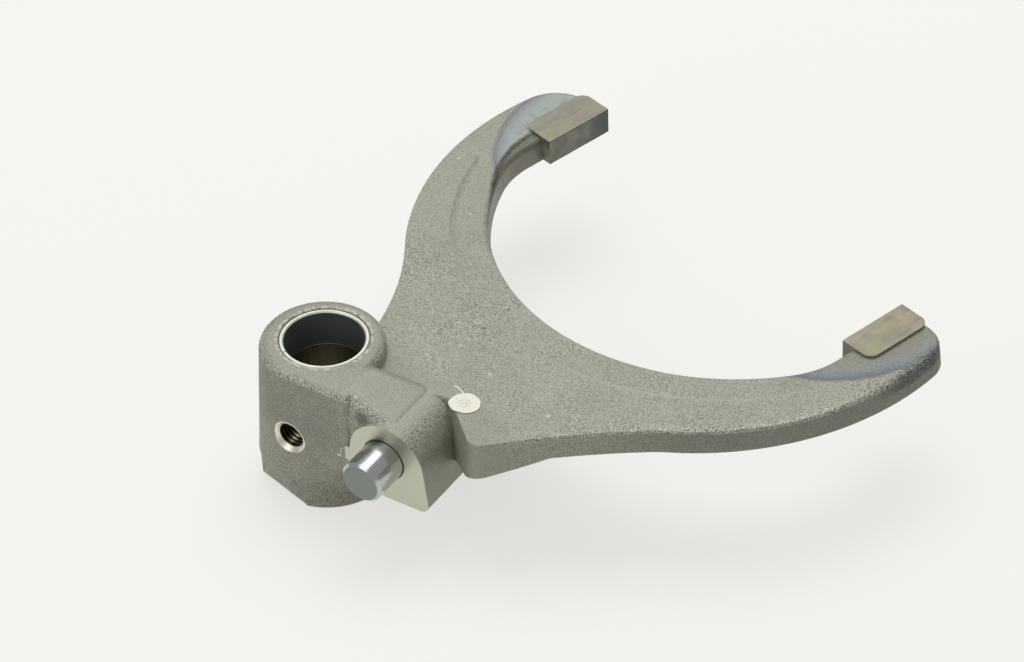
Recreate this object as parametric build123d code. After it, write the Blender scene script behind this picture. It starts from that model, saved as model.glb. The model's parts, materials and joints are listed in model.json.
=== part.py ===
from build123d import *
import os
from math import asin, atan2, cos, hypot, radians, sin, tan

os.makedirs("parts", exist_ok=True)

# A forged steel shift fork that slides on a selector rail.
# Millimetres. +Z runs up the rail bore, the origin lies on the bore axis in the mid-plane of the
# fork arms, +Y points from the rail to the open side of the fork and +X to the arm beside the pin.

# Rail bore and the two plain bushes in it
rail_d = 25.0
bush_wall = 1.5
bush_len = 13.0
bush_inset = 0.3
bush_chamfer = 0.4
bush_seam = 0.35
seam_heading = 255.0

# Hub: its outside is forged a little off the bore, towards the front
hub_top = 8.5
hub_bottom = -42.7
hub_split = -32.5
hub_r = 19.35
hub_shift = -0.8
hub_edge = 2.8
hub_foot_edge = 1.2
hub_foot_taper = 3.0
hub_foot_y = -18.7
hub_step = 0.3
hub_mouth = 0.4
forge_draft = 3.0

# Fork: centre of the sliding collar, arms, pads
fork_x = 37.9
fork_y = 129.7
arm_top = 3.5
arm_bottom = -5.6
arm_edge = 1.5
arm_edge_low = 1.1
gap_half = 67.0
pad_step = 3.3
pad_t = 9.0
pad_w = 12.0
pad_from = -12.4
pad_to = 12.8
pad_corner = 3.5
inner_bow = 6.8
inner_shift = 6.3
inner_blend = 28.0
rim_w = 7.1
arm_w = 14.6
outer_shift = -10.7
tip_y = 13.1
tip_corner_left = 15.0
tip_corner_right = 11.5
web_drop = 0.5
web_draft = 5.0
step_y = -34.0
step_corner = 4.0
step_slope = 66.0

# Neck between the arms and the hub
neck_left_angle = 228.0
neck_left_bow = 2.8
neck_left_end = (3.2, 12.4)
neck_right_angle = 310.4
neck_right_bow = -1.6
neck_left_end_r = 5.0
neck_inside = (18.0, -6.0)
neck_inside_r = 10.0
nose = (64.0, 2.0)
nose_r = 5.5
nose_back = (42.0, 13.0)
nose_back_r = 4.0
neck_blend = 40.0

# Root of the web: a cone around the boss that thickens it below
root_u = 36.0
root_wide = 44.5
root_narrow = 14.0
root_drop = 10.9

# Pin boss and the face it shares with the hub, turned from the fork's own axes
boss_heading = 16.2
bridge_back = 4.0
bridge_u = 21.8
bridge_corner = 2.0
bridge_knee = -10.0
bridge_foot = 18.8
saddle_set = 1.2
saddle_lip = 0.6
saddle_lean = 12.0
saddle_slope = 42.0
saddle_edge = 4.0
saddle_crown = 24.0
saddle_from = 3.0
saddle_under = 2.0
boss_r = 13.2
boss_out = 21.0
boss_u = 35.7
boss_z = -9.8
boss_draft = 7.0
boss_bottom = -24.2
boss_corner = 3.2
boss_len = 34.0
boss_heel = 14.0
mill_r = 17.2
mill_depth = 3.0

# Selector pin, pressed into the boss
pin_d = 14.0
pin_u = 34.8
pin_z = -9.1
pin_out = 12.6
pin_seat = 0.6
pin_gap = 0.35
pin_lift = 0.1
pin_neck_d = 13.2
pin_chamfer = 0.9
shank_d = 12.0
shank_len = 21.0

# Tapped cross hole through the front of the hub
tap_d = 10.0
tap_pitch = 1.5
tap_z = -15.8
tap_mouth_d = 11.2

arm_half = gap_half + pad_step
inner_r = arm_half + inner_bow
step_r = inner_r + rim_w
outer_r = inner_r + arm_w
bore_d = rail_d + 2 * bush_wall
tap_minor_d = tap_d - 1.0825 * tap_pitch
out = Vector(sin(radians(boss_heading)), -cos(radians(boss_heading)), 0)
along = Vector(cos(radians(boss_heading)), sin(radians(boss_heading)), 0)
boss_face = out * boss_out
reach = 4 * outer_r
hub_u = hub_shift * along.Y
hub_d = hub_shift * out.Y
front_d = hub_d + hub_r
flare = tan(radians(forge_draft))
knee_d = front_d + (hub_top - bridge_knee) * flare


def front_plane(distance):
    """Upright plane across the boss: x runs along its face, y up and z out of it."""
    return Plane(origin=out * distance, x_dir=along, z_dir=out)


def side_plane(u):
    """Upright plane through the boss: x runs out of its face, y up."""
    return Plane(origin=along * u, x_dir=out, z_dir=out.cross(Vector(0, 0, 1)))


def slab(sketch, low, high):
    """Plan shape between two levels."""
    return extrude(Pos(0, 0, low) * sketch, high - low)


def corner(sketch, x, y, radius):
    """Round the sketch's corner nearest to x, y."""
    near = sketch.vertices().sort_by_distance((x, y, 0))[0]
    return fillet(near, radius)


def half_chord(radius, height):
    """Half the chord of a circle at a height from its centre."""
    return (radius ** 2 - height ** 2) ** 0.5


def outer_point(angle):
    """Point of the arms' outer arc at an angle about its centre."""
    a = radians(angle)
    return (fork_x + outer_r * cos(a), fork_y + outer_shift + outer_r * sin(a))


def half_plane(y, side):
    """Everything below (MAX) or above (MIN) a level y in plan."""
    return Pos(fork_x, y) * Rectangle(reach, reach, align=(Align.CENTER, side))


def bowed(start, end, bow):
    """Arc between two points, bowed to the left of the way from start to end."""
    x = end[0] - start[0]
    y = end[1] - start[1]
    span = hypot(x, y)
    middle = ((start[0] + end[0]) / 2 - y / span * bow, (start[1] + end[1]) / 2 + x / span * bow)
    return ThreePointArc(start, middle, end)


def neck_plan():
    """Plan of the neck, from the outer arc down to the hub and the nose beside the boss."""
    left = outer_point(neck_left_angle)
    right = outer_point(neck_right_angle)
    edges = [
        bowed(left, neck_left_end, neck_left_bow),
        Polyline(neck_left_end, neck_inside, nose_back, nose),
        bowed(right, nose, neck_right_bow),
        Polyline(right, (fork_x, fork_y), left),
    ]
    neck = make_face(Curve() + edges)
    corners = (
        (nose, nose_r),
        (nose_back, nose_back_r),
        (neck_inside, neck_inside_r),
        (neck_left_end, neck_left_end_r),
    )
    for place, radius in corners:
        neck = corner(neck, place[0], place[1], radius)
    return neck


def throat_plan():
    """Plan of the opening between the arms, round at the neck and straight beside the pads."""
    centre_y = fork_y + inner_shift
    lane = Pos(fork_x, centre_y) * Rectangle(2 * arm_half, 2 * inner_r)
    open_end = Pos(fork_x, centre_y) * Rectangle(2 * arm_half, reach, align=(Align.CENTER, Align.MIN))
    throat = (Pos(fork_x, centre_y) * Circle(inner_r) & lane) + open_end
    bend_y = centre_y - half_chord(inner_r, arm_half)
    throat = corner(throat, fork_x - arm_half, bend_y, inner_blend)
    return corner(throat, fork_x + arm_half, bend_y, inner_blend)


def fork_plan():
    """Plan of the two arms with the neck."""
    disc = Pos(fork_x, fork_y + outer_shift) * Circle(outer_r)
    arms = disc & half_plane(fork_y + tip_y, Align.MAX)
    plan = arms + neck_plan() - throat_plan()
    for angle in (neck_left_angle, neck_right_angle):
        x, y = outer_point(angle)
        plan = corner(plan, x, y, neck_blend)
    tip_x = half_chord(outer_r, tip_y - outer_shift)
    plan = corner(plan, fork_x - tip_x, fork_y + tip_y, tip_corner_left)
    return corner(plan, fork_x + tip_x, fork_y + tip_y, tip_corner_right)


def lowered_plan():
    """Plan of the web where its faces drop below the rim and the arms."""
    low = half_plane(fork_y + step_y, Align.MAX) - Pos(fork_x, fork_y) * Circle(step_r)
    x = half_chord(step_r, step_y)
    low = corner(low, fork_x - x, fork_y + step_y, step_corner)
    return corner(low, fork_x + x, fork_y + step_y, step_corner)


def make_plate(plan):
    """Arms and web: drafted edges, rounded rims and a slightly sunk middle."""
    plate = extrude(Pos(0, 0, arm_bottom) * plan, arm_top - arm_bottom, taper=web_draft)
    plate = fillet(plate.edges().group_by(Axis.Z)[-1], arm_edge)
    plate = chamfer(plate.edges().group_by(Axis.Z)[0], arm_edge_low)
    level = arm_top - web_drop
    sunk = extrude(Pos(0, 0, level) * lowered_plan(), 2 * web_drop, taper=-step_slope)
    return plate - sunk - mirror(sunk, Plane.XY.offset((arm_top + arm_bottom) / 2))


def make_root(plan):
    """Cone around the boss that deepens the web below, flush with the web's side walls."""
    low = arm_bottom - root_drop + arm_edge_low
    walls = extrude(Pos(0, 0, arm_bottom) * plan, arm_edge_low, taper=web_draft)
    walls += slab(plan, low, arm_bottom)
    skirt = Cone(root_narrow, root_wide, root_drop, align=(Align.CENTER, Align.CENTER, Align.MIN))
    return walls & Pos(root_u * along.X, root_u * along.Y, low) * skirt


def pad_plan(side):
    """Plan of the ground pad on one arm tip."""
    x = fork_x + side * (gap_half + pad_w / 2)
    y = fork_y + (pad_from + pad_to) / 2
    plan = Pos(x, y) * Rectangle(pad_w, pad_to - pad_from)
    far_x = fork_x + side * (gap_half + pad_w)
    for end in (fork_y + pad_from, fork_y + pad_to):
        plan = corner(plan, far_x, end, pad_corner)
    return plan


def add_pads(body):
    """Both arm tips ground to the pads' thickness and built out towards the collar."""
    for side in (-1, 1):
        plan = pad_plan(side)
        body = body - slab(plan, arm_bottom - 1, arm_top + 1) + slab(plan, -pad_t / 2, pad_t / 2)
    return body


def make_hub():
    """Hub barrel below the bridge, drafted both ways from the split, with a flat on its foot."""
    split_r = hub_r + (hub_top - hub_split) * flare
    knee_r = hub_r + (hub_top - bridge_knee) * flare
    drop = hub_split - hub_bottom
    foot_r = split_r - drop * tan(radians(hub_foot_taper))
    rise = bridge_knee - hub_split
    barrel = Cone(split_r, knee_r, rise, align=(Align.CENTER, Align.CENTER, Align.MIN))
    foot = Cone(foot_r, split_r - hub_step, drop, align=(Align.CENTER, Align.CENTER, Align.MAX))
    foot = foot - Pos(0, hub_foot_y - hub_shift, 0) * Box(
        reach, reach, 3 * drop, align=(Align.CENTER, Align.MAX, Align.CENTER)
    )
    foot = chamfer(foot.faces().sort_by(Axis.Z)[0].edges(), hub_foot_edge)
    return Pos(0, hub_shift, hub_split) * (barrel + foot)


def face_box(u0, u1, d0, d1):
    """Plan rectangle between two places along the boss face and two distances in front of the axis."""
    return Pos(u0, -d1) * Rectangle(u1 - u0, d1 - d0, align=(Align.MIN, Align.MIN))


def make_collar():
    """Top of the hub with the bridge to the boss, one drafted block with a rounded rim."""
    top = Plane(origin=(0, 0, hub_top), x_dir=along, z_dir=(0, 0, 1))
    bridge = face_box(hub_u, bridge_u, bridge_back, front_d)
    bridge = corner(bridge, bridge_u, -front_d, bridge_corner)
    plan = Pos(hub_u, -hub_d) * Circle(hub_r) + bridge
    block = extrude(top * plan, bridge_knee - hub_top, taper=-forge_draft)
    rim = block.faces().sort_by(Axis.Z)[-1].edges()
    return fillet(rim, hub_edge)


def across(sketch, near, far):
    """Profile in height and distance from the axis, drawn out along the boss face."""
    return extrude(side_plane(near) * sketch, near - far)


def saddle_profile():
    """Side view of the saddle: its front leans out behind the boss face, its back slopes to the web."""
    front = boss_out - saddle_set
    rise = hub_top - saddle_lip
    fall = hub_top - boss_z
    return make_face(Polyline(
        (front, saddle_lip),
        (front - rise * tan(radians(saddle_lean)), hub_top),
        (bridge_back, hub_top),
        (bridge_back - fall / tan(radians(saddle_slope)), boss_z),
        (front, boss_z),
        close=True,
    ))


def saddle_fall():
    """Front view of the saddle: from the bridge's edge it falls to where it touches the boss."""
    run = boss_u - bridge_u
    fall = hub_top - boss_z
    span = hypot(run, fall)
    slope = atan2(fall, run) - asin(boss_r / span)
    length = (span ** 2 - boss_r ** 2) ** 0.5
    touch_u = bridge_u + length * cos(slope)
    touch_z = hub_top - length * sin(slope)
    return make_face(Polyline(
        (0, hub_top), (bridge_u, hub_top), (touch_u, touch_z), (boss_u, boss_z), (0, boss_z), close=True
    ))


def make_saddle():
    """Blend between hub and boss: a crowned slope with well rounded rims, kept behind the hub's front."""
    body = extrude(front_plane(boss_out) * saddle_fall(), -2 * reach)
    body = body & across(saddle_profile(), 0, reach)
    crown = body.edges().filter_by_position(Axis.Z, hub_top - 0.01, hub_top + 0.01)
    body = fillet(crown.sort_by(Axis((0, 0, 0), along))[-1], saddle_crown)
    rims = body.edges().filter_by_position(Axis.Z, boss_z + 1, hub_top - 0.01)
    body = fillet(rims, saddle_edge)
    top = Plane(origin=(0, 0, hub_top), x_dir=along, z_dir=(0, 0, 1))
    beside = face_box(bridge_u - saddle_under, reach, -reach, boss_out)
    behind = face_box(saddle_from, bridge_u, -reach, bridge_back + saddle_under)
    return body & extrude(top * (beside + behind), boss_z - hub_top)


def make_foot():
    """Front wall below the bridge, curving back under it to the hub."""
    front = make_face(
        TangentArc((knee_d, bridge_knee), (bridge_foot, boss_bottom), tangent=(flare, -1))
        + Polyline((bridge_foot, boss_bottom), (0, boss_bottom), (0, bridge_knee), (knee_d, bridge_knee))
    )
    return across(front, 0, bridge_u + (hub_top - bridge_knee) * flare)


def arch_sketch():
    """Face of the boss: round on top, drafted sides, flat below."""
    s = sin(radians(boss_draft))
    c = cos(radians(boss_draft))
    foot_x = (boss_r - (boss_bottom - boss_z) * s) / c
    sides = Polyline(
        (boss_u - foot_x, boss_bottom),
        (boss_u + foot_x, boss_bottom),
        (boss_u + boss_r * c, boss_z + boss_r * s),
        (boss_u - boss_r * c, boss_z + boss_r * s),
        close=True,
    )
    arch = make_face(sides) + Pos(boss_u, boss_z) * Circle(boss_r)
    arch = corner(arch, boss_u - foot_x, boss_bottom, boss_corner)
    return corner(arch, boss_u + foot_x, boss_bottom, boss_corner)


def make_boss():
    """Boss that holds the pin, with a sloping heel under the web and its back cut to the saddle."""
    arch = extrude(front_plane(boss_out) * arch_sketch(), -boss_len)
    heel = boss_out - boss_len
    slope = tan(radians(saddle_slope))
    side = make_face(Polyline(
        (boss_out, boss_bottom - 1),
        (boss_out, hub_top),
        (bridge_back, hub_top),
        (heel, hub_top - (bridge_back - heel) * slope),
        (heel, boss_bottom + boss_heel),
        (heel + boss_heel, boss_bottom - 1),
        close=True,
    ))
    return arch & across(side, -reach, reach)


def rod(distance, u, z, radius, length):
    """Cylinder square to the boss face, its outer end at a distance from the bore axis."""
    return extrude(front_plane(distance) * Pos(u, z) * Circle(radius), -length)


def mill_cut():
    """Sweep of the cutter that mills the boss face and shaves the bulge of the hub beside it."""
    return rod(boss_out + mill_depth, boss_u, boss_z, mill_r, mill_depth)


def rail_bore():
    """Rail bore with its bevelled ends."""
    upright = (Align.CENTER, Align.CENTER, Align.MIN)
    bore = Pos(0, 0, hub_bottom) * Cylinder(bore_d / 2, hub_top - hub_bottom, align=upright)
    wide = bore_d / 2 + hub_mouth
    mouth = Cone(bore_d / 2, wide, hub_mouth, align=(Align.CENTER, Align.CENTER, Align.MAX))
    return bore + Pos(0, 0, hub_top) * mouth + Pos(0, 0, hub_bottom) * Rot(180, 0, 0) * mouth


def pin_hole():
    """Hole for the pin's shank with the counterbore that its head sits in."""
    seat = rod(boss_out, pin_u, pin_z, pin_d / 2 + pin_gap, pin_seat)
    return seat + rod(boss_out, pin_u, pin_z, shank_d / 2, pin_seat + shank_len)


def cross_hole():
    """Core of the tapped hole with its countersink in the hub's front wall."""
    wall = front_d + (hub_top - tap_z) * flare
    core_r = tap_minor_d / 2
    depth = tap_mouth_d / 2 - core_r
    sink = Cone(core_r, core_r + 2 * depth, 2 * depth, align=(Align.CENTER, Align.CENTER, Align.MIN))
    hole = rod(wall + depth, 0, tap_z, core_r, wall)
    return hole + front_plane(wall - depth) * Pos(0, tap_z) * sink


def make_fork():
    """Whole forging with its machined holes."""
    plan = fork_plan()
    body = make_hub() + make_collar() + make_saddle() + make_foot() + make_boss()
    body = add_pads(body + make_plate(plan) + make_root(plan))
    for tool in (mill_cut(), rail_bore(), pin_hole(), cross_hole()):
        body = body - tool
    return body


def make_bush(top):
    """Wrapped plain bush with bevelled ends and a butt seam."""
    ring = Cylinder(bore_d / 2, bush_len) - Cylinder(rail_d / 2, 2 * bush_len)
    ring = chamfer(ring.edges().filter_by(GeomType.CIRCLE), bush_chamfer)
    seam = Rot(0, 0, seam_heading) * Pos(rail_d / 2, 0, 0) * Box(2 * bush_wall + 2, bush_seam, 2 * bush_len)
    return Pos(0, 0, top - bush_len / 2) * (ring - seam)


def make_pin():
    """Ground selector pin: a head that ends at the boss face, a relief neck and a pressed-in shank."""
    head = rod(boss_out + pin_out, pin_u, pin_z, pin_d / 2, pin_out - pin_lift)
    head = chamfer(head.edges().group_by(Axis(boss_face, out))[-1], pin_chamfer)
    neck = rod(boss_out + pin_lift, pin_u, pin_z, pin_neck_d / 2, pin_lift + pin_seat)
    return head + neck + rod(boss_out, pin_u, pin_z, shank_d / 2, pin_seat + shank_len)


fork = make_fork()
export_step(fork, "parts/fork_body.step")
export_step(make_bush(hub_top - bush_inset), "parts/bush_upper.step")
export_step(make_bush(hub_bottom + bush_inset + bush_len), "parts/bush_lower.step")
export_step(make_pin(), "parts/selector_pin.step")
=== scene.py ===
"""Looks of a forged steel shift fork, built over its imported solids.

The fork is one shot-blasted forging with a milled boss face, two ground pads that carry a heat tint,
a bored hub with two wrapped bushes, a ground pin and a dab of cream paint on the web.
"""

from __future__ import annotations

import json
import logging
import math
from dataclasses import dataclass, field
from enum import Enum
from typing import Sequence

import bmesh
import bpy
from mathutils import Matrix, Vector

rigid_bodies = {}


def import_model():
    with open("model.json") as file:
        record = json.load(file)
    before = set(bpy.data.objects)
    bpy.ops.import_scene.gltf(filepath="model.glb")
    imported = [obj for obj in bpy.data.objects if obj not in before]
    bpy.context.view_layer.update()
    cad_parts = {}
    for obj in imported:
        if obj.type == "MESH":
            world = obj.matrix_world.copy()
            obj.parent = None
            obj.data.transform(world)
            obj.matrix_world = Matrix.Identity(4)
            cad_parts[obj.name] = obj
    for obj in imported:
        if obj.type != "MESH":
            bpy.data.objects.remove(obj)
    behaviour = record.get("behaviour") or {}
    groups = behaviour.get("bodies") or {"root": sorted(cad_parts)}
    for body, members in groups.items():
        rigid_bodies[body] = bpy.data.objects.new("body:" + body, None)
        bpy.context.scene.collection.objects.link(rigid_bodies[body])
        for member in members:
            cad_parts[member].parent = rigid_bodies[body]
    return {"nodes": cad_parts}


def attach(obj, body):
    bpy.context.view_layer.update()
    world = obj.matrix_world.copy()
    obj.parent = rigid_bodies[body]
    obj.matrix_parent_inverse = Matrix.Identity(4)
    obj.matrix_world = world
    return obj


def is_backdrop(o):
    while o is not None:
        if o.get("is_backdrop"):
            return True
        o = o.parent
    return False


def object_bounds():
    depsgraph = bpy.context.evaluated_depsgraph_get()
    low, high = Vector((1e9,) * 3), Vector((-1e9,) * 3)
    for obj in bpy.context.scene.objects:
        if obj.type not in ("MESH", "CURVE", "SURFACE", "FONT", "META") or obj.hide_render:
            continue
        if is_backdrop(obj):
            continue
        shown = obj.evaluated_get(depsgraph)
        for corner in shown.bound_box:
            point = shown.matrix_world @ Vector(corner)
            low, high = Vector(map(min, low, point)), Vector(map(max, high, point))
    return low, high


LOG = logging.getLogger("shift_fork")
MM = 0.001
Colour = tuple[float, float, float, float]
Socket = bpy.types.NodeSocket


def paint(red: int, green: int, blue: int) -> Colour:
    """Turn a screen colour into the linear one that shaders use.

    Args:
        red: Red, from 0 to 255.
        green: Green, from 0 to 255.
        blue: Blue, from 0 to 255.

    Returns:
        The linear colour with full alpha.
    """
    parts = [c / 255 for c in (red, green, blue)]
    linear = [c / 12.92 if c <= 0.04045 else ((c + 0.055) / 1.055) ** 2.4 for c in parts]
    return (linear[0], linear[1], linear[2], 1.0)


class Graph:
    """Short calls that add and join the nodes of one shader tree."""

    def __init__(self, tree: bpy.types.NodeTree) -> None:
        """Start on a tree.

        Args:
            tree: The node tree that the calls add to.
        """
        self.tree = tree

    def put(self, target: Socket, value: object) -> None:
        """Feed an input from another socket, or set it to a plain value.

        Args:
            target: The input socket.
            value: A socket to link, or a number, vector or colour.
        """
        if isinstance(value, bpy.types.NodeSocket):
            self.tree.links.new(value, target)
        else:
            target.default_value = value

    def add(
        self, kind: str, inputs: dict[str | int, object] | None = None, **settings: object
    ) -> bpy.types.Node:
        """Add a node.

        Args:
            kind: The node's type name without its ShaderNode prefix.
            inputs: Values or sockets for its inputs, by name or place.
            settings: Settings of the node itself.

        Returns:
            The new node.
        """
        node = self.tree.nodes.new("ShaderNode" + kind)
        for name, value in settings.items():
            setattr(node, name, value)
        for key, value in (inputs or {}).items():
            self.put(node.inputs[key], value)
        return node

    def math(self, operation: str, first: object, second: object = 0.0, third: object = 0.0) -> Socket:
        """Work out one number.

        Args:
            operation: The Math node's operation.
            first: First value.
            second: Second value.
            third: Third value, for the operations that have one.

        Returns:
            The result's socket.
        """
        inputs = {0: first, 1: second, 2: third}
        return self.add("Math", inputs, operation=operation).outputs[0]

    def vector(self, operation: str, first: object, second: object = (0.0, 0.0, 0.0)) -> bpy.types.Node:
        """Work out one vector.

        Args:
            operation: The Vector Math node's operation.
            first: First vector.
            second: Second vector.

        Returns:
            The node, whose outputs are Vector and Value.
        """
        return self.add("VectorMath", {0: first, 1: second}, operation=operation)

    def dot(self, first: object, direction: Sequence[float]) -> Socket:
        """Length of a vector along a direction."""
        return self.vector("DOT_PRODUCT", first, tuple(direction)).outputs["Value"]

    def scaled(self, source: Socket, factors: Sequence[float]) -> Socket:
        """Stretch a vector by a factor on each axis."""
        return self.vector("MULTIPLY", source, tuple(factors)).outputs["Vector"]

    def step(self, value: object, low: float, high: float) -> Socket:
        """Rise smoothly from 0 to 1.

        Args:
            value: What is measured.
            low: Where the rise starts.
            high: Where it ends; below low, it falls instead.

        Returns:
            The mask's socket.
        """
        flip = high < low
        inputs = {"Value": value, "From Min": min(low, high), "From Max": max(low, high)}
        inputs |= {"To Min": 1.0 if flip else 0.0, "To Max": 0.0 if flip else 1.0}
        node = self.add("MapRange", inputs, interpolation_type="SMOOTHSTEP", clamp=True)
        return node.outputs["Result"]

    def band(self, value: object, centre: float, half: float, soft: float) -> Socket:
        """Mask that is 1 within half of a centre and fades over soft.

        Args:
            value: What is measured.
            centre: Middle of the band.
            half: Half its width.
            soft: Width of the fade on each side.

        Returns:
            The mask's socket.
        """
        away = self.math("ABSOLUTE", self.math("SUBTRACT", value, centre))
        return self.step(away, half + soft, half)

    def hypot(self, run: Socket, rise: Socket) -> Socket:
        """Length of two steps at right angles."""
        squares = self.math("ADD", self.math("POWER", run, 2.0), self.math("POWER", rise, 2.0))
        return self.math("SQRT", squares)

    def away(
        self, where: Socket, centre: Sequence[float], stretch: Sequence[float] = (1.0, 1.0, 1.0)
    ) -> Socket:
        """Distance from a centre, with each axis stretched.

        Args:
            where: Place in millimetres.
            centre: The centre.
            stretch: Factor on each axis; 0 leaves an axis out.

        Returns:
            The distance's socket.
        """
        offset = self.vector("SUBTRACT", where, tuple(centre)).outputs["Vector"]
        return self.vector("LENGTH", self.scaled(offset, stretch)).outputs["Value"]

    def flip(self, mask: Socket) -> Socket:
        """1 where the mask is 0, and 0 where it is 1."""
        return self.math("SUBTRACT", 1.0, mask)

    def some(self, mask: Socket, share: object) -> Socket:
        """A share of a mask."""
        return self.math("MULTIPLY", mask, share)

    def both(self, *masks: Socket) -> Socket:
        """Product of masks: 1 where all are 1."""
        result = masks[0]
        for mask in masks[1:]:
            result = self.math("MULTIPLY", result, mask)
        return result

    def either(self, *masks: Socket) -> Socket:
        """Largest of the masks."""
        result = masks[0]
        for mask in masks[1:]:
            result = self.math("MAXIMUM", result, mask)
        return result

    def blend(self, mask: object, under: object, over: object) -> Socket:
        """Mix two numbers by a mask."""
        inputs = {"Factor": mask, 2: under, 3: over}
        return self.add("Mix", inputs, data_type="FLOAT").outputs[0]

    def tint(self, mask: object, under: object, over: object, mode: str = "MIX") -> Socket:
        """Mix two colours by a mask.

        Args:
            mask: How much of the second colour shows.
            under: First colour.
            over: Second colour.
            mode: The Mix node's blend type.

        Returns:
            The colour's socket.
        """
        inputs = {"Factor": mask, 6: under, 7: over}
        return self.add("Mix", inputs, data_type="RGBA", blend_type=mode).outputs[2]

    def noise(self, where: Socket, size: float, detail: float = 2.0, rough: float = 0.55) -> Socket:
        """Noise of a grain size.

        Args:
            where: Place in millimetres.
            size: Size of a grain in millimetres.
            detail: Octaves.
            rough: Weight of the finer octaves.

        Returns:
            Noise from 0 to 1, mostly between 0.3 and 0.7.
        """
        inputs = {"Vector": where, "Scale": 1 / size, "Detail": detail, "Roughness": rough}
        return self.add("TexNoise", inputs).outputs[0]

    def ramp(self, value: Socket, stops: Sequence[tuple[float, Colour]]) -> Socket:
        """Colours along a value.

        Args:
            value: From 0 to 1.
            stops: Places and colours, in rising order.

        Returns:
            The colour's socket.
        """
        node = self.add("ValToRGB", {0: value})
        band = node.color_ramp
        while len(band.elements) < len(stops):
            band.elements.new(0.5)
        for element, (place, colour) in zip(band.elements, stops):
            element.position = place
        for element, (place, colour) in zip(band.elements, stops):
            element.color = colour
        return node.outputs["Color"]


def new_group(
    name: str, inputs: dict[str, str], outputs: dict[str, str]
) -> tuple[Graph, dict[str, Socket], bpy.types.Node]:
    """Start a shader node group.

    Args:
        name: The group's name.
        inputs: Its inputs, names to the short type: Float, Vector or Color.
        outputs: Its outputs, likewise.

    Returns:
        A graph on the group's tree, its inputs inside by name, and its output node.
    """
    tree = bpy.data.node_groups.new(name, "ShaderNodeTree")
    for side, sockets in (("INPUT", inputs), ("OUTPUT", outputs)):
        for socket, kind in sockets.items():
            tree.interface.new_socket(socket, in_out=side, socket_type="NodeSocket" + kind)
    entry = tree.nodes.new("NodeGroupInput")
    leave = tree.nodes.new("NodeGroupOutput")
    return Graph(tree), {name: entry.outputs[name] for name in inputs}, leave


class Effect(Enum):
    """Surface effects that several finishes share."""

    BLASTED = "blasted_grain"
    GROUND = "ground_marks"
    MOTTLE = "slow_mottle"


class Effects:
    """The shared node groups, each built once."""

    def __init__(self) -> None:
        """Build every group."""
        self.trees: dict[Effect, bpy.types.NodeTree] = {
            Effect.BLASTED: self.build_blasted(),
            Effect.GROUND: self.build_ground(),
            Effect.MOTTLE: self.build_mottle(),
        }

    def build_blasted(self) -> bpy.types.NodeTree:
        """Grain of a shot-blasted skin: dimples, bright flecks and dark pits.

        Returns:
            The group's tree. Where is in millimetres and Size is the dimples' width.
        """
        g, given, leave = new_group(
            Effect.BLASTED.value,
            {"Where": "Vector", "Size": "Float"},
            {"Grain": "Float", "Bright": "Float", "Dark": "Float", "Height": "Float"},
        )
        size = g.add("CombineXYZ", {0: given["Size"], 1: given["Size"], 2: given["Size"]}).outputs[0]
        place = g.vector("DIVIDE", given["Where"], size).outputs["Vector"]
        grain = g.noise(place, 1.0, 2.5, 0.7)
        flecks = g.noise(g.vector("ADD", place, (31.0, 7.0, 13.0)).outputs["Vector"], 0.9, 1.0, 0.5)
        pits = g.noise(g.vector("ADD", place, (5.0, 41.0, 23.0)).outputs["Vector"], 1.2, 1.0, 0.5)
        g.put(leave.inputs["Grain"], g.step(grain, 0.34, 0.66))
        g.put(leave.inputs["Bright"], g.step(flecks, 0.54, 0.68))
        g.put(leave.inputs["Dark"], g.step(pits, 0.46, 0.32))
        height = g.math("ADD", g.math("MULTIPLY", grain, 0.6), g.math("MULTIPLY", pits, 0.4))
        g.put(leave.inputs["Height"], height)
        return g.tree

    def build_ground(self) -> bpy.types.NodeTree:
        """Fine parallel marks left by grinding or milling.

        Returns:
            The group's tree. Where is in millimetres, already stretched along the marks.
        """
        g, given, leave = new_group(
            Effect.GROUND.value, {"Where": "Vector"}, {"Marks": "Float", "Height": "Float"}
        )
        wide = g.noise(given["Where"], 1.4, 2.0, 0.6)
        fine = g.noise(g.vector("ADD", given["Where"], (3.0, 17.0, 9.0)).outputs["Vector"], 0.35, 2.0, 0.6)
        marks = g.blend(0.5, wide, fine)
        g.put(leave.inputs["Marks"], marks)
        g.put(leave.inputs["Height"], fine)
        return g.tree

    def build_mottle(self) -> bpy.types.NodeTree:
        """Slow change of tone over a surface.

        Returns:
            The group's tree. Where is in millimetres.
        """
        outputs = {"Broad": "Float", "Close": "Float"}
        g, given, leave = new_group(Effect.MOTTLE.value, {"Where": "Vector"}, outputs)
        broad = g.noise(given["Where"], 26.0, 3.0, 0.55)
        close = g.noise(g.vector("ADD", given["Where"], (11.0, 3.0, 19.0)).outputs["Vector"], 6.0, 3.0, 0.6)
        g.put(leave.inputs["Broad"], g.step(broad, 0.35, 0.65))
        g.put(leave.inputs["Close"], g.step(close, 0.35, 0.65))
        return g.tree

    def use(self, g: Graph, effect: Effect, inputs: dict[str, object]) -> bpy.types.Node:
        """Place a group in a material.

        Args:
            g: The material's graph.
            effect: Which group.
            inputs: Values or sockets for its inputs.

        Returns:
            The group node.
        """
        node = g.add("Group", node_tree=self.trees[effect])
        for name, value in inputs.items():
            g.put(node.inputs[name], value)
        return node


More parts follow.
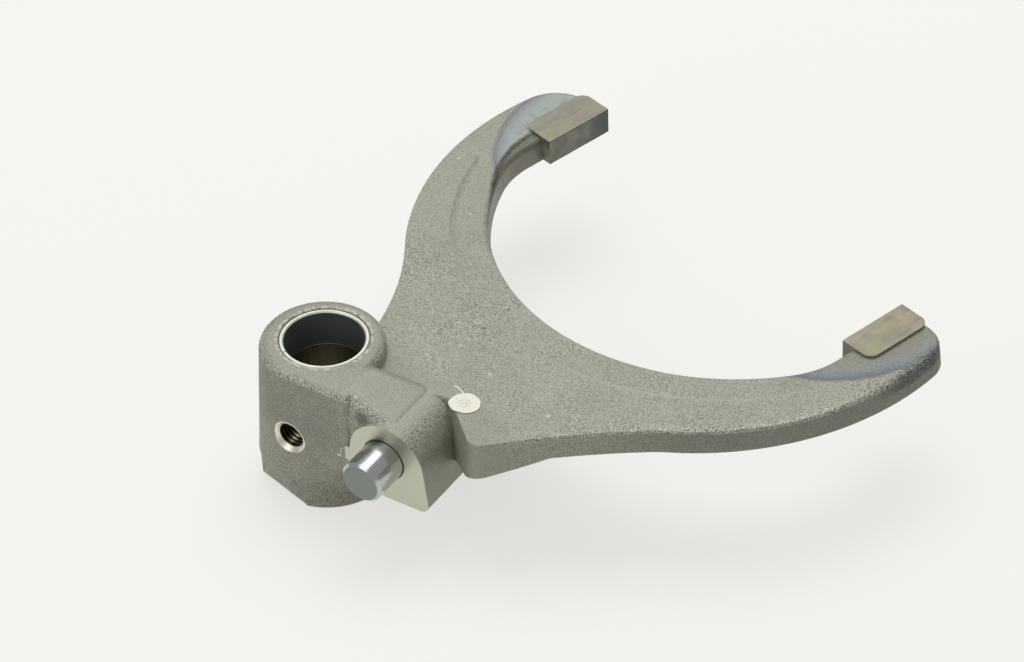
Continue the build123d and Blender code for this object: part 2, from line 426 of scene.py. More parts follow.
@dataclass
class Shade:
    """A material under construction, with its place and facing already read out."""

    name: str
    g: Graph = field(init=False)
    material: bpy.types.Material = field(init=False)

    def __post_init__(self) -> None:
        """Make the empty material and the sockets that every finish starts from."""
        self.material = bpy.data.materials.new(self.name)
        self.material.use_nodes = True
        self.material.node_tree.nodes.clear()
        self.g = Graph(self.material.node_tree)
        coordinates = self.g.add("TexCoord")
        self.where = self.g.scaled(coordinates.outputs["Object"], (1 / MM, 1 / MM, 1 / MM))
        self.facing = coordinates.outputs["Normal"]
        parts = self.g.add("SeparateXYZ", {0: self.where})
        self.x, self.y, self.z = parts.outputs[0], parts.outputs[1], parts.outputs[2]
        self.up = self.g.dot(self.facing, (0.0, 0.0, 1.0))

    def from_axis(self, centre: tuple[float, float]) -> Socket:
        """Distance in plan from an upright axis."""
        return self.g.away(self.where, (*centre, 0.0), (1.0, 1.0, 0.0))

    def close(self, colour: object, rough: object, metal: object, height: object, depth: float,
              **plain: float) -> bpy.types.Material:
        """End the material in a Principled shader.

        Args:
            colour: Base colour.
            rough: Roughness.
            metal: Metallic.
            height: Height in units of depth.
            depth: What a height of 1 is, in millimetres.
            plain: Further values by socket name, with _ for a space, each the same all over.

        Returns:
            The finished material.
        """
        bump = self.g.add("Bump", {"Height": height, "Distance": depth * MM, "Strength": 1.0})
        inputs = {"Base Color": colour, "Roughness": rough, "Metallic": metal, "Normal": bump.outputs[0]}
        shader = self.g.add("BsdfPrincipled", inputs)
        for name, value in plain.items():
            shader.inputs[name.replace("_", " ")].default_value = value
        output = self.g.add("OutputMaterial")
        self.g.put(output.inputs["Surface"], shader.outputs[0])
        return self.material


@dataclass(frozen=True)
class BossPlane:
    """Where the milled face lies: a heading and a distance from the bore axis, in millimetres."""

    heading: float = 16.2
    distance: float = 21.0

    @property
    def out(self) -> tuple[float, float, float]:
        """Direction out of the face."""
        a = math.radians(self.heading)
        return (math.sin(a), -math.cos(a), 0.0)

    @property
    def along(self) -> tuple[float, float, float]:
        """Direction along the face."""
        a = math.radians(self.heading)
        return (math.cos(a), math.sin(a), 0.0)


@dataclass(frozen=True)
class ForgingFinish:
    """Blasted skin with its machined places, each found by where it lies on the part."""

    plane: BossPlane = BossPlane()
    pin_place: tuple[float, float] = (34.8, -9.1)
    mill_r: float = 17.2
    collar: tuple[float, float] = (37.9, 136.0)
    inner_r: float = 77.1
    step_at: tuple[float, float] = (37.9, 129.7)
    step_r: float = 84.2
    outer: tuple[float, float] = (37.9, 119.0)
    outer_r: float = 91.7
    nose: tuple[float, float] = (64.0, 2.0)
    join: tuple[float, float] = (97.3, 49.2)
    pad_level: float = 4.5
    pad_gap: float = 67.0
    bore_r: float = 14.0
    liner_foot: float = -4.8
    tap_z: float = -15.8
    tap_mouth_r: float = 5.6
    tap_minor_r: float = 4.19
    tap_pitch: float = 1.5
    step_z: float = 3.25
    step_up: float = 0.92
    line_out: float = 0.3
    bulge_y: float = 102.0
    bulge_out: float = 2.2
    fold_u: float = -6.5
    fold_z: float = -35.2
    hollow_u: float = 26.4
    hollow_z: float = 2.3
    tint_centre: tuple[float, float] = (42.9, 135.0)
    tint_r: float = 47.8
    low: Colour = paint(104, 102, 90)
    high: Colour = paint(214, 214, 200)
    dark: Colour = paint(58, 54, 44)
    brown: Colour = paint(92, 82, 68)
    spark: Colour = paint(236, 234, 216)
    milled: Colour = paint(206, 207, 190)
    pits: tuple[tuple[float, float, float], ...] = ((21.9, 41.1, 0.45), (24.8, 42.6, 0.6), (32.2, 45.1, 0.35))
    nicks: tuple[tuple[float, float, float], ...] = (
        (-44.2, 92.1, 0.7), (-19.8, 75.8, 0.6), (17.2, 38.8, 0.7), (22.2, 34.4, 0.6), (26.0, 31.9, 0.6),
        (42.3, 29.8, 0.8), (68.7, 29.8, 0.9),
    )

    def boss_mask(self, s: Shade) -> Socket:
        """Where the milled boss face shows, with a short trace of its cutter on the hub.

        Args:
            s: The material.

        Returns:
            The mask's socket.
        """
        g = s.g
        level = g.band(g.dot(s.where, self.plane.out), self.plane.distance, 0.03, 0.02)
        aside = g.math("SUBTRACT", g.dot(s.where, self.plane.along), self.pin_place[0])
        swept = g.both(g.band(aside, 0.9 - self.mill_r, 0.7, 0.2), g.band(s.z, -14.8, 3.2, 0.4))
        swept = g.either(swept, g.step(aside, 2.9 - self.mill_r, 3.1 - self.mill_r))
        return g.both(level, swept, g.step(g.dot(s.facing, self.plane.out), 0.985, 0.995))

    def pad_mask(self, s: Shade) -> Socket:
        """Where the ground pads show, on both flanks and towards the collar.

        Args:
            s: The material.

        Returns:
            The mask's socket.
        """
        g = s.g
        aside = g.math("ABSOLUTE", g.math("SUBTRACT", s.x, self.collar[0]))
        flank = g.both(
            g.band(g.math("ABSOLUTE", s.z), self.pad_level, 0.03, 0.02),
            g.step(g.math("ABSOLUTE", s.up), 0.97, 0.99),
            g.step(s.y, 110.0, 112.0),
        )
        inside = g.both(g.step(aside, self.pad_gap + 0.05, self.pad_gap + 0.02), g.step(s.y, 110.0, 112.0))
        return g.either(flank, inside)

    def bore_mask(self, s: Shade) -> Socket:
        """Where the rail bore's wall shows."""
        flat = s.g.scaled(s.where, (1.0, 1.0, 0.0))
        return s.g.step(s.g.vector("LENGTH", flat).outputs["Value"], self.bore_r + 0.06, self.bore_r + 0.03)

    def pin_side(self, s: Shade) -> Socket:
        """0 on the arm away from the pin, 1 on the arm beside it."""
        return s.g.step(s.x, 30.0, 45.0)

    def tap_away(self, s: Shade) -> Socket:
        """Distance from the tapped hole's axis.

        Args:
            s: The material.

        Returns:
            The distance's socket, far off for anything behind the bore.
        """
        g = s.g
        across = g.dot(s.where, self.plane.along)
        down = g.math("SUBTRACT", s.z, self.tap_z)
        away = g.hypot(across, down)
        return g.blend(g.step(g.dot(s.where, self.plane.out), 13.6, 14.2), 50.0, away)

    def tint_depth(self, s: Shade, close: Socket) -> Socket:
        """How far inside the heat tint's edge a point lies, in millimetres.

        Args:
            s: The material.
            close: Mottle that frays the edge.

        Returns:
            The depth's socket, below 0 outside the tint.
        """
        g = s.g
        aside = g.math("ABSOLUTE", g.math("SUBTRACT", s.x, self.collar[0]))
        run = g.math("SUBTRACT", aside, self.tint_centre[0])
        rise = g.math("SUBTRACT", s.y, self.tint_centre[1])
        away = g.hypot(run, rise)
        depth = g.math("SUBTRACT", self.tint_r, away)
        frayed = g.math("ADD", depth, g.math("MULTIPLY", g.math("SUBTRACT", close, 0.5), 0.5))
        return g.blend(g.step(s.y, 80.0, 84.0), -20.0, frayed)

    def rim_mask(self, s: Shade) -> Socket:
        """Worn zone along the outer rim of the fork, from the nose to the tip beside the pin.

        Args:
            s: The material.

        Returns:
            The mask's socket.
        """
        g = s.g
        run = Vector(self.join) - Vector(self.nose)
        out = (run.y / run.length, -run.x / run.length, 0.0)
        reach = out[0] * self.nose[0] + out[1] * self.nose[1]
        straight = g.math("SUBTRACT", reach, g.dot(s.where, out))
        arc = g.math("SUBTRACT", self.outer_r, s.from_axis(self.outer))
        inside = g.blend(g.step(s.y, 44.0, 58.0), straight, arc)
        right = g.step(s.x, 58.0, 72.0)
        ragged = g.math("ADD", inside, g.math("MULTIPLY", g.noise(s.where, 3.0, 2.0), 2.2))
        return g.both(g.step(ragged, 6.2, 2.4), right, g.step(s.z, 1.8, 2.6), g.step(s.up, 0.2, 0.5))

    def tip_mask(self, s: Shade) -> Socket:
        """Dark rounded end of the arm beside the pin, outside its pad.

        Args:
            s: The material.

        Returns:
            The mask's socket.
        """
        g = s.g
        arc = g.math("SUBTRACT", self.outer_r, s.from_axis(self.outer))
        ragged = g.math("ADD", arc, g.math("MULTIPLY", g.noise(s.where, 2.5, 2.0), 2.0))
        end = g.both(g.step(s.x, 100.0, 112.0), g.step(s.y, 106.0, 122.0))
        return g.both(g.step(ragged, 5.4, 2.2), end, g.step(s.z, -1.5, 0.5))

    def from_rim_line(self, s: Shade) -> Socket:
        """Distance outward from the dark line that leaves the arm's inner edge near the pad.

        Args:
            s: The material.

        Returns:
            The distance's socket, below 0 towards the collar.
        """
        g = s.g
        outward = g.math("SUBTRACT", s.from_axis(self.collar), self.inner_r)
        bulge = g.math("MULTIPLY", g.band(s.y, self.bulge_y, 3.0, 18.0), self.bulge_out)
        return g.math("SUBTRACT", outward, g.math("ADD", self.line_out, bulge))

    def inner_rim(self, s: Shade) -> Socket:
        """Dark rounded rim along the inside of the arm away from the pin.

        Args:
            s: The material.

        Returns:
            The mask's socket.
        """
        g = s.g
        ragged = g.math("ADD", self.from_rim_line(s), g.math("MULTIPLY", g.noise(s.where, 2.0, 1.0), 0.8))
        near = g.band(ragged, 0.1, 0.35, 1.1)
        along = g.both(g.step(s.x, 2.0, -14.0), g.step(s.y, 119.0, 115.0), g.step(s.y, 64.0, 80.0))
        return g.both(near, along, g.step(s.z, 0.6, 2.2))

    def inner_slope(self, s: Shade) -> Socket:
        """Bare strip between that dark rim and the edge, where the arm runs into its pad.

        Args:
            s: The material.

        Returns:
            The mask's socket.
        """
        g = s.g
        inside = g.step(self.from_rim_line(s), 0.3, -0.6)
        return g.both(inside, g.step(s.x, 2.0, -14.0), g.step(s.y, 78.0, 86.0), g.step(s.z, 0.6, 2.2))

    def build_skin(self, s: Shade, grain: bpy.types.Node, mottle: bpy.types.Node) -> Socket:
        """Colour of the blasted skin, whose flecks grow stronger where an edge is rounded: painted sparkle
        highlights and painted dark specks of shade.

        Args:
            s: The material.
            grain: The blasted grain.
            mottle: The slow change of tone.

        Returns:
            The colour's socket.
        """
        g = s.g
        wall = g.step(g.math("ABSOLUTE", s.up), 0.3, 0.16)
        sloped = g.both(g.step(s.up, 0.93, 0.84), g.flip(wall))
        boss = g.both(g.step(g.dot(s.where, self.plane.along), 33.0, 38.0), g.step(s.y, 14.0, 10.0))
        rim = self.rim_mask(s)
        # worn joins the rounded edges, whose stronger flecks are painted sparkle and painted shade, with the
        # worn rim zone
        worn = g.either(sloped, rim)
        dusty = g.step(g.noise(s.where, 14.0, 2.0, 0.5), 0.46, 0.6)
        hub = g.both(g.step(s.z, 1.0, 3.0), g.step(s.y, 20.0, 14.0), g.step(s.up, 0.6, 0.85))
        base = g.tint(mottle.outputs["Broad"], paint(150, 148, 136), paint(163, 164, 151))
        base = g.tint(g.some(mottle.outputs["Close"], 0.3), base, paint(168, 167, 154))
        fleck = g.tint(grain.outputs["Grain"], self.low, self.high)
        strong = g.blend(worn, g.blend(wall, g.blend(dusty, 0.46, 0.66), 0.46), g.blend(boss, 0.78, 0.5))
        shoulder = g.both(g.band(s.up, 0.55, 0.3, 0.1), g.step(s.z, 2.0, 4.0), g.step(s.y, 2.0, -6.0))
        calm = g.both(g.step(s.x, 6.0, -16.0), g.step(s.y, 50.0, 70.0))
        strong = g.blend(calm, g.blend(hub, strong, 0.3), 0.3)
        colour = g.tint(strong, base, fleck)
        pitted = g.tint(boss, self.dark, self.brown)
        darker = g.blend(worn, g.blend(wall, g.blend(dusty, 0.14, 0.5), 0.22), 0.8)
        darker = g.blend(calm, g.blend(hub, darker, 0.12), 0.12)
        colour = g.tint(g.some(grain.outputs["Dark"], darker), colour, pitted)
        lighter = g.blend(hub, g.blend(worn, 0.2, g.blend(boss, 0.72, 0.1)), 0.1)
        # painted sparkle: strong bright flecks on the boss's front shoulder
        lighter = g.either(lighter, g.some(shoulder, 0.9))
        colour = g.tint(g.some(grain.outputs["Bright"], lighter), colour, self.spark)
        return self.paint_wall_light_and_shade(s, colour, boss, wall)

    def paint_wall_light_and_shade(self, s: Shade, colour: Socket, boss: Socket, wall: Socket) -> Socket:
        """Paint light and shade on walls: painted light on the boss's flank, painted shade on the hub's upper
        side and on the far arm's outer wall, and a browner tone on the boss's upper sides.

        Args:
            s: The material.
            colour: The skin under it.
            boss: Mask of the boss.
            wall: Mask of upright faces.

        Returns:
            The colour's socket.
        """
        g = s.g
        # browner tone on the boss's sides above z -16
        boss_brown_tone = g.both(boss, g.step(s.up, 0.82, 0.6), g.step(s.z, -16.0, -8.0))
        colour = g.tint(g.some(boss_brown_tone, 0.12), colour, self.brown)
        # painted light: the boss's flank lightened where it lies in shade
        flank = g.both(boss, g.step(g.math("ABSOLUTE", s.up), 0.8, 0.6))
        colour = g.tint(g.some(flank, 0.3), colour, paint(176, 177, 160))
        across = g.dot(s.where, self.plane.along)
        # painted shade on the upper part of the hub's front wall
        shaded = g.both(wall, g.step(s.z, -20.0, -8.0), g.step(across, 22.0, 16.0), g.step(s.y, 0.0, -6.0))
        colour = g.tint(g.some(shaded, 0.24), colour, paint(98, 100, 90))
        # painted shade on the far arm's outer wall
        far = g.both(wall, g.step(s.x, 74.0, 104.0), g.step(g.math("ABSOLUTE", s.z), 6.0, 5.7))
        return g.tint(g.some(far, 0.38), colour, paint(98, 95, 82))

    def paint_step_light_and_shade(self, s: Shade, colour: Socket, grain: bpy.types.Node) -> Socket:
        """Paint a highlight on the slope of the web's step and paint shade into the groove outside it.

        Args:
            s: The material.
            colour: The colour under it.
            grain: The blasted grain.

        Returns:
            The colour's socket.
        """
        g = s.g
        coarse = g.flip(grain.outputs["Grain"])
        # painted highlight along the slope of the step
        level = g.band(s.z, self.step_z, 0.2, 0.05)
        step = g.both(level, g.band(s.up, self.step_up, 0.06, 0.02), g.step(s.y, 30.0, 36.0))
        step = g.some(step, g.blend(g.step(s.y, 90.0, 99.0), 0.62, 0.22))
        colour = g.tint(g.some(step, g.blend(coarse, 1.0, 0.45)), colour, paint(190, 189, 176))
        # painted shade in the groove just outside the step
        groove_shade = g.band(s.from_axis(self.step_at), self.step_r + 0.6, 0.2, 0.7)
        groove_shade = g.both(groove_shade, g.step(s.y, 60.0, 76.0), g.step(s.y, 99.0, 95.0))
        groove_shade = g.both(groove_shade, g.step(s.x, 20.0, 0.0), g.step(s.z, 1.0, 2.0))
        return g.tint(g.some(groove_shade, g.blend(coarse, 0.25, 0.5)), colour, paint(104, 104, 96))

    def mark_rims(self, s: Shade, colour: Socket, grain: bpy.types.Node) -> Socket:
        """Darken the inner rim of one arm and the tip of the other.

        Args:
            s: The material.
            colour: The colour under it.
            grain: The blasted grain.

        Returns:
            The colour's socket.
        """
        g = s.g
        coarse = g.flip(grain.outputs["Grain"])
        slope = g.both(self.inner_slope(s), g.step(s.y, 120.0, 117.0))
        bare = g.tint(coarse, paint(132, 128, 108), paint(98, 96, 84))
        colour = g.tint(g.some(slope, 0.85), colour, bare)
        rim = g.some(self.inner_rim(s), g.blend(coarse, 0.4, 1.0))
        colour = g.tint(rim, colour, paint(54, 58, 54))
        end = self.tip_mask(s)
        colour = g.tint(g.both(end, g.blend(coarse, 0.5, 1.0)), colour, paint(46, 51, 53))
        specks = g.both(end, grain.outputs["Bright"])
        return g.tint(g.some(specks, 0.7), colour, paint(176, 180, 172))

    def mark_hub(self, s: Shade, colour: Socket, grain: bpy.types.Node) -> Socket:
        """Darken the hub's foot and make it browner, draw the fold above it and paint shade into the hollow
        beside the boss.

        Args:
            s: The material.
            colour: The colour under it.
            grain: The blasted grain.

        Returns:
            The colour's socket.
        """
        g = s.g
        coarse = g.flip(grain.outputs["Grain"])
        across = g.dot(s.where, self.plane.along)
        low = g.step(s.z, -27.0, -38.0)
        # the hub darker and browner towards its foot
        darker_foot = g.both(low, g.step(across, -6.0, 4.0), g.blend(grain.outputs["Dark"], 0.25, 1.0))
        colour = g.tint(g.some(darker_foot, 0.7), colour, paint(72, 64, 48))
        fold = g.both(g.band(s.z, self.fold_z, 0.5, 1.0), g.band(across, self.fold_u, 5.5, 2.5))
        fold = g.both(fold, g.step(s.y, -3.0, -7.0))
        colour = g.tint(g.some(fold, g.blend(coarse, 0.45, 1.0)), colour, self.dark)
        # painted shade in the hollow beside the boss
        hollow = g.both(g.band(across, self.hollow_u, 1.0, 2.2), g.band(s.z, self.hollow_z, 0.8, 2.2))
        hollow = g.both(hollow, g.step(s.y, -8.0, -11.0))
        return g.tint(g.some(hollow, g.blend(coarse, 0.35, 0.85)), colour, paint(74, 72, 60))

    def mark_spots(self, s: Shade, colour: Socket) -> Socket:
        """Add the pits and nicks of the top, and the chips round the bore's mouth.

        Args:
            s: The material.
            colour: The colour under them.

        Returns:
            The colour's socket.
        """
        g = s.g
        top = g.step(s.up, 0.9, 0.95)
        for spots, tone in ((self.pits, paint(52, 50, 42)), (self.nicks, paint(206, 206, 194))):
            for x, y, radius in spots:
                mark = g.step(s.from_axis((x, y)), radius, radius * 0.6)
                colour = g.tint(g.some(g.both(mark, top), 0.75), colour, tone)
        mouth = g.step(s.from_axis((0.0, 0.0)), 15.6, 14.8)
        chips = g.both(mouth, g.step(s.z, 7.5, 8.0), g.step(g.noise(s.where, 1.6, 2.0), 0.46, 0.56))
        return g.tint(g.some(chips, 0.8), colour, paint(208, 208, 190))

    def build_tint(self, s: Shade, colour: Socket, grain: bpy.types.Node, mottle: bpy.types.Node) -> Socket:
        """Lay the heat tint's bands over the skin near the pads.

        Args:
            s: The material.
            colour: The skin under it.
            grain: The blasted grain.
            mottle: The slow change of tone.

        Returns:
            The colour's socket.
        """
        g = s.g
        depth = self.tint_depth(s, mottle.outputs["Close"])
        place = g.math("DIVIDE", depth, 26.0)
        left = g.ramp(place, (
            (0.0, paint(150, 147, 138)), (0.045, paint(126, 127, 138)), (0.09, paint(150, 158, 163)),
            (0.2, paint(171, 185, 184)), (0.4, paint(172, 186, 180)), (0.6, paint(160, 165, 158)),
            (0.85, paint(154, 152, 142)),
        ))
        right = g.ramp(place, (
            (0.0, paint(140, 136, 124)), (0.05, paint(106, 114, 128)), (0.12, paint(130, 144, 150)),
            (0.22, paint(147, 156, 152)), (0.36, paint(144, 148, 141)), (0.6, paint(136, 134, 126)),
            (0.85, paint(140, 136, 126)),
        ))
        bands = g.tint(self.pin_side(s), left, right)
        flecks = g.some(g.flip(grain.outputs["Grain"]), g.blend(self.pin_side(s), 0.1, 0.28))
        bands = g.tint(flecks, bands, self.dark)
        worn = g.both(g.step(g.noise(s.where, 7.0, 3.0, 0.6), 0.44, 0.54), g.step(depth, 4.0, 9.0))
        bands = g.tint(g.some(worn, 0.7), bands, paint(146, 140, 124))
        bands = g.tint(g.some(grain.outputs["Bright"], 0.12), bands, self.spark)
        wall = g.step(g.math("ABSOLUTE", s.up), 0.6, 0.3)
        bare = g.tint(mottle.outputs["Close"], paint(104, 107, 102), paint(132, 126, 104))
        bands = g.tint(wall, bands, bare)
        rim = g.both(self.rim_mask(s), g.flip(g.step(depth, 1.0, 5.0)))
        strength = g.blend(g.either(wall, rim), 0.8, 0.3)
        return g.tint(g.some(g.step(depth, -0.7, 1.0), strength), colour, bands)

    def build_pads(self, s: Shade, marks: bpy.types.Node, mottle: bpy.types.Node) -> Socket:
        """Colour of the ground pads: straw with purple-grey patches on the flanks, grey towards the collar.

        Args:
            s: The material.
            marks: The grinding marks.
            mottle: The slow change of tone.

        Returns:
            The colour's socket.
        """
        g = s.g
        patch = g.step(g.noise(g.scaled(s.where, (1.0, 0.35, 1.0)), 4.0, 3.0, 0.55), 0.36, 0.66)
        warm = g.tint(self.pin_side(s), paint(172, 170, 144), paint(156, 153, 124))
        cool = g.tint(self.pin_side(s), paint(158, 155, 149), paint(138, 134, 132))
        straw = g.tint(patch, warm, cool)
        orange = g.step(g.noise(s.where, 7.0, 1.0), 0.5, 0.66)
        straw = g.tint(g.some(orange, 0.4), straw, paint(178, 166, 138))
        straw = g.tint(g.some(marks.outputs["Marks"], 0.25), straw, paint(182, 180, 160))
        scuffs = g.step(g.noise(g.scaled(s.where, (1.0, 0.08, 1.0)), 0.7, 1.0), 0.6, 0.72)
        straw = g.tint(g.some(scuffs, 0.35), straw, paint(118, 110, 96))
        grey = g.tint(mottle.outputs["Close"], paint(100, 104, 95), paint(122, 121, 106))
        grey = g.tint(g.step(s.y, 132.0, 141.0), grey, paint(80, 88, 83))
        grey = g.tint(g.step(s.z, 4.1, 4.35), grey, paint(66, 66, 58))
        return g.tint(g.step(g.math("ABSOLUTE", s.up), 0.5, 0.8), grey, straw)

    def build(self, effects: Effects) -> bpy.types.Material:
        """Make the material.

        Args:
            effects: The shared node groups.

        Returns:
            The forging's material.
        """
        s = Shade("forged_skin")
        g = s.g
        mottle = effects.use(g, Effect.MOTTLE, {"Where": s.where})
        grain = effects.use(g, Effect.BLASTED, {"Where": s.where, "Size": 0.46})
        marks = effects.use(g, Effect.GROUND, {"Where": g.scaled(s.where, (1.0, 0.12, 1.0))})
        colour = self.build_skin(s, grain, mottle)
        colour = self.build_tint(s, colour, grain, mottle)
        colour = self.paint_step_light_and_shade(s, colour, grain)
        colour = self.mark_rims(s, colour, grain)
        colour = self.mark_hub(s, colour, grain)
        colour = self.mark_spots(s, colour)
        pads = self.pad_mask(s)
        colour = g.tint(pads, colour, self.build_pads(s, marks, mottle))
        boss = self.boss_mask(s)
        colour = g.tint(boss, colour, g.tint(marks.outputs["Marks"], paint(192, 193, 176), self.milled))
        bore = self.bore_mask(s)
        streaks = effects.use(g, Effect.GROUND, {"Where": g.scaled(s.where, (1.0, 1.0, 0.05))})
        wall = g.tint(streaks.outputs["Marks"], paint(70, 66, 50), paint(150, 146, 116))
        # painted highlight: a thin bright line on the bore wall just under the upper bush
        edge = g.band(s.z, self.liner_foot - 0.15, 0.12, 0.06)
        colour = g.tint(bore, colour, g.tint(edge, wall, paint(230, 228, 214)))
        away = self.tap_away(s)
        tap = g.step(away, self.tap_mouth_r + 0.08, self.tap_mouth_r)
        # tapped hole: its inside painted dark as shade, with rings of painted glints at the thread pitch
        turn = g.math("MULTIPLY", g.dot(s.where, self.plane.out), 2 * math.pi / self.tap_pitch)
        thread_glints = g.step(g.math("SINE", turn), 0.2, 0.9)
        inner = g.tint(thread_glints, paint(44, 40, 30), paint(150, 144, 124))
        # the countersink is painted pale: its bright cut metal, raised further as painted light
        hole = g.step(away, self.tap_minor_r + 0.12, self.tap_minor_r + 0.04)
        colour = g.tint(tap, colour, g.tint(hole, paint(232, 229, 212), inner))
        cut = g.either(pads, boss, bore, tap)
        rough = g.blend(grain.outputs["Grain"], 0.5, 0.66)
        rough = g.blend(cut, rough, g.blend(marks.outputs["Marks"], 0.3, 0.42))
        metal = g.blend(cut, 0.5, 0.9)
        height = g.blend(cut, grain.outputs["Height"], g.math("MULTIPLY", marks.outputs["Height"], 0.06))
        return s.close(colour, rough, metal, height, 0.22)


@dataclass(frozen=True)
class BushFinish:
    """Dark sliding liner inside, bright steel at the ends and outside."""

    rail_r: float = 12.5
    foot: float = -4.8
    liner: Colour = paint(80, 83, 84)
    steel: Colour = paint(238, 238, 226)

    def build(self, effects: Effects) -> bpy.types.Material:
        """Make the material.

        Args:
            effects: The shared node groups.

        Returns:
            The bushes' material.
        """
        s = Shade("bush")
        g = s.g
        flat = g.scaled(s.where, (1.0, 1.0, 0.0))
        inner = g.step(g.vector("LENGTH", flat).outputs["Value"], self.rail_r + 0.06, self.rail_r + 0.02)
        inner = g.both(inner, g.flip(g.band(s.z, self.foot, 0.5, 0.1)))
        marks = effects.use(g, Effect.GROUND, {"Where": g.scaled(s.where, (0.5, 0.5, 2.0))})
        dark = g.tint(marks.outputs["Marks"], self.liner, paint(96, 98, 99))
        bright = g.tint(g.noise(s.where, 1.2, 2.0), self.steel, paint(206, 207, 194))
        colour = g.tint(inner, bright, dark)
        rough = g.blend(inner, 0.42, g.blend(marks.outputs["Marks"], 0.4, 0.55))
        metal = g.blend(inner, 0.7, 0.2)
        return s.close(colour, rough, metal, marks.outputs["Height"], 0.006)


@dataclass(frozen=True)
class PinFinish:
    """Ground barrel with fine lengthways polish, and a duller end; painted shade darkens the barrel's root.
    """

    plane: BossPlane = BossPlane()
    barrel: Colour = paint(200, 204, 202)
    face: Colour = paint(138, 144, 140)

    def build(self, effects: Effects) -> bpy.types.Material:
        """Make the material.

        Args:
            effects: The shared node groups.

        Returns:
            The pin's material.
        """
        s = Shade("ground_pin")
        g = s.g
        end = g.step(g.dot(s.facing, self.plane.out), 0.9, 0.97)
        length = g.dot(s.where, self.plane.out)
        squeezed = g.vector("SUBTRACT", s.where, (0.0, 0.0, 0.0))
        inputs = {0: tuple(self.plane.out), "Scale": g.math("MULTIPLY", length, 0.9)}
        along = g.add("VectorMath", inputs, operation="SCALE")
        g.put(squeezed.inputs[1], along.outputs["Vector"])
        marks = effects.use(g, Effect.GROUND, {"Where": squeezed.outputs["Vector"]})
        barrel = g.tint(marks.outputs["Marks"], paint(176, 180, 178), self.barrel)
        dull = g.tint(marks.outputs["Marks"], paint(126, 132, 128), self.face)
        colour = g.tint(end, barrel, dull)
        # painted shade on the upper side of the barrel near the boss face, where the counterbore shades it
        aside = g.dot(s.facing, (-self.plane.along[0], -self.plane.along[1], 0.6))
        root = g.both(g.step(length, 25.0, 21.5), g.step(aside, 0.25, 0.75))
        colour = g.tint(g.some(root, 0.8), colour, paint(52, 54, 50))
        rough = g.blend(end, g.blend(marks.outputs["Marks"], 0.14, 0.26), 0.42)
        return s.close(colour, rough, 1.0, marks.outputs["Height"], 0.004)


@dataclass(frozen=True)
class PaintFinish:
    """Thick cream marking paint with yellowish flecks where the brush turned."""

    centre: tuple[float, float] = (47.45, 15.25)
    cream: Colour = paint(242, 241, 226)
    fleck: Colour = paint(206, 204, 126)

    def build(self, effects: Effects) -> bpy.types.Material:
        """Make the material.

        Args:
            effects: The shared node groups; not used.

        Returns:
            The paint's material.
        """
        s = Shade("marking_paint")
        g = s.g
        offset = g.vector("SUBTRACT", s.where, (self.centre[0], self.centre[1], 3.0)).outputs["Vector"]
        middle = g.step(g.vector("LENGTH", offset).outputs["Value"], 2.6, 1.0)
        swirl = g.noise(s.where, 1.1, 3.0, 0.6)
        flecks = g.both(middle, g.step(swirl, 0.42, 0.56))
        colour = g.tint(g.math("MULTIPLY", flecks, 0.85), self.cream, self.fleck)
        colour = g.tint(g.step(g.noise(s.where, 0.7, 2.0), 0.62, 0.72), colour, paint(226, 222, 200))
        return s.close(colour, g.blend(swirl, 0.35, 0.5), 0.0, swirl, 0.12, IOR=1.5)


@dataclass
class ForkBody:
    """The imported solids, which keep their shape and get their finishes."""

    nodes: dict[str, bpy.types.Object]

    def dress(self, effects: Effects) -> None:
        """Give each solid its material.

        Args:
            effects: The shared node groups.
        """
        bush = BushFinish().build(effects)
        finishes = {
            "fork_body": ForgingFinish().build(effects),
            "bush_upper": bush,
            "bush_lower": bush,
            "selector_pin": PinFinish().build(effects),
        }
        for name, material in finishes.items():
            self.nodes[name].material_slots[0].material = material
            LOG.info("dressed %s with %s", name, material.name)


